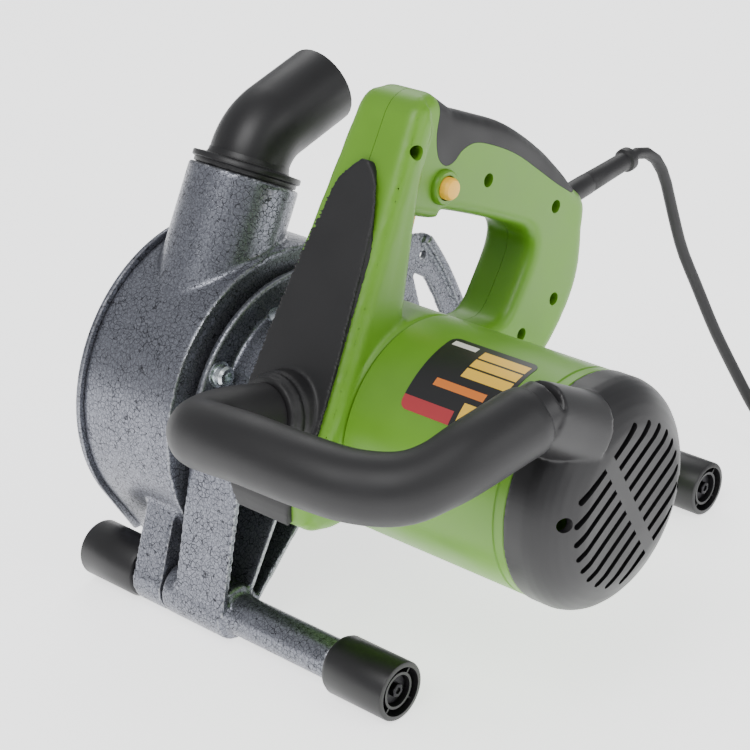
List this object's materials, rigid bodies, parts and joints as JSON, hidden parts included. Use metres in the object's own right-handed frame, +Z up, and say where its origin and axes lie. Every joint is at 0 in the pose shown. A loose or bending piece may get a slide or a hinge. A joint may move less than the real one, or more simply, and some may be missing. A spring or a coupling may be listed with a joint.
{
  "type": "wall chaser",
  "caption": "Hand-held wall chaser: a stack of diamond discs in a wheeled crackle-painted guard with a dust elbow, on a plunging green motor unit with a D handle and a bar handle.",
  "frame": {"origin": "on the floor, under the middle of the machine's box without its cord", "axes": "+X along the motor towards its vented cap, +Y towards the back, where the cord leaves, +Z up"},
  "size_m": [0.4877, 0.554, 0.3223],
  "materials": {
    "steel_bright": "bright machined steel",
    "zinc_plate": "zinc plate",
    "crackle_paint": "silver and black crackle paint on a light alloy casting",
    "green_shell": "satin moulded green",
    "black_plastic": "satin moulded black",
    "black_soft_grip": "soft matt overmould",
    "yellow_plastic": "semi-gloss yellow",
    "black_rubber": "matt rubber",
    "copper_winding": "varnished copper",
    "lamination_iron": "bare iron",
    "carbon": "matt carbon",
    "diamond_segment": "grey steel with a gritty rim"
  },
  "bodies": {
    "frame": {"guard_drum": "crackle_paint", "guard_cover": "crackle_paint", "cover_screw_1": "zinc_plate", "cover_screw_2": "zinc_plate", "cover_screw_3": "zinc_plate", "rear_frame": "crackle_paint", "front_axle": "steel_bright", "rear_axle": "steel_bright", "roller_screw_front_right": "zinc_plate", "roller_screw_front_left": "zinc_plate", "roller_screw_rear_right": "zinc_plate", "roller_screw_rear_left": "zinc_plate", "cord_coil": "black_rubber", "mains_plug": "black_rubber"},
    "plunge_unit": {"arm_casting": "crackle_paint", "arm_bolt": "zinc_plate", "bearing_plate": "lamination_iron", "spindle_bearing_inner": "steel_bright", "spindle_bearing_outer": "steel_bright", "motor_bearing_front": "steel_bright", "motor_bearing_rear": "steel_bright", "stator": "lamination_iron", "motor_housing": "green_shell", "carbon_brush_front": "carbon", "carbon_brush_rear": "carbon", "rear_cap": "black_plastic", "cap_screw_1": "zinc_plate", "cap_screw_2": "zinc_plate", "handle_shell_right": "green_shell", "handle_shell_left": "green_shell", "spine_cover": "black_soft_grip", "soft_grip": "black_soft_grip", "bar_handle": "black_soft_grip", "switch_body": "black_plastic", "strain_relief": "black_rubber", "power_cord": "black_rubber"},
    "spindle_unit": {"spindle": "steel_bright", "driven_gear": "steel_bright", "inner_flange": "steel_bright", "clamp_nut": "zinc_plate", "diamond_disc_1": "diamond_segment", "diamond_disc_2": "diamond_segment", "diamond_disc_3": "diamond_segment", "diamond_disc_4": "diamond_segment", "diamond_disc_5": "diamond_segment", "disc_spacer_1": "steel_bright", "disc_spacer_2": "steel_bright", "disc_spacer_3": "steel_bright", "disc_spacer_4": "steel_bright"},
    "rotor": {"armature": "copper_winding", "cooling_fan": "black_plastic"},
    "front_right_roller": {"roller_front_right": "black_plastic"},
    "front_left_roller": {"roller_front_left": "black_plastic"},
    "rear_right_roller": {"roller_rear_right": "black_plastic"},
    "rear_left_roller": {"roller_rear_left": "black_plastic"},
    "elbow": {"dust_elbow": "black_rubber"},
    "trigger": {"trigger": "yellow_plastic"},
    "lock_off": {"lock_off_button": "yellow_plastic"},
    "spindle_lock": {"spindle_lock_button": "zinc_plate"}
  },
  "joints": [
    {"name": "plunge", "type": "hinge", "parent": "frame", "child": "plunge_unit", "pos_m": [-0.0471, -0.118, 0.018], "axis": [-1, 0, 0], "range_deg": [0, 27], "stiffness_Nm_per_rad": 10, "springref_deg": -68.75},
    {"name": "spindle_spin", "type": "hinge", "parent": "plunge_unit", "child": "spindle_unit", "pos_m": [-0.1074, -0.026, 0.1104], "axis": [1, 0, 0], "continuous": true},
    {"name": "rotor_spin", "type": "hinge", "parent": "plunge_unit", "child": "rotor", "pos_m": [0.0255, -0.038, 0.1366], "axis": [1, 0, 0], "continuous": true},
    {"name": "front_right_roll", "type": "hinge", "parent": "frame", "child": "front_right_roller", "pos_m": [0.0793, -0.118, 0.018], "axis": [1, 0, 0], "continuous": true},
    {"name": "front_left_roll", "type": "hinge", "parent": "frame", "child": "front_left_roller", "pos_m": [-0.1727, -0.118, 0.018], "axis": [1, 0, 0], "continuous": true},
    {"name": "rear_right_roll", "type": "hinge", "parent": "frame", "child": "rear_right_roller", "pos_m": [0.0793, 0.187, 0.018], "axis": [1, 0, 0], "continuous": true},
    {"name": "rear_left_roll", "type": "hinge", "parent": "frame", "child": "rear_left_roller", "pos_m": [-0.1727, 0.187, 0.018], "axis": [1, 0, 0], "continuous": true},
    {"name": "elbow_turn", "type": "hinge", "parent": "frame", "child": "elbow", "pos_m": [-0.1314, -0.01579, 0.24677], "axis": [0, 0.4695, 0.8829], "range_deg": [-180, 180]},
    {"name": "trigger_squeeze", "type": "slide", "parent": "plunge_unit", "child": "trigger", "axis": [0, 0.36, 0.933], "range_m": [0, 0.006], "stiffness_N_per_m": 800, "springref_m": -0.003},
    {"name": "lock_off_press", "type": "slide", "parent": "plunge_unit", "child": "lock_off", "axis": [-1, 0, 0], "range_m": [0, 0.005], "stiffness_N_per_m": 500, "springref_m": -0.002},
    {"name": "spindle_lock_press", "type": "slide", "parent": "plunge_unit", "child": "spindle_lock", "axis": [0, 0.309, -0.9511], "range_m": [0, 0.0035], "stiffness_N_per_m": 600, "springref_m": -0.002}
  ],
  "couplings": [
    {"joint": "rotor_spin", "follows": "spindle_spin", "ratio": -4}
  ]
}
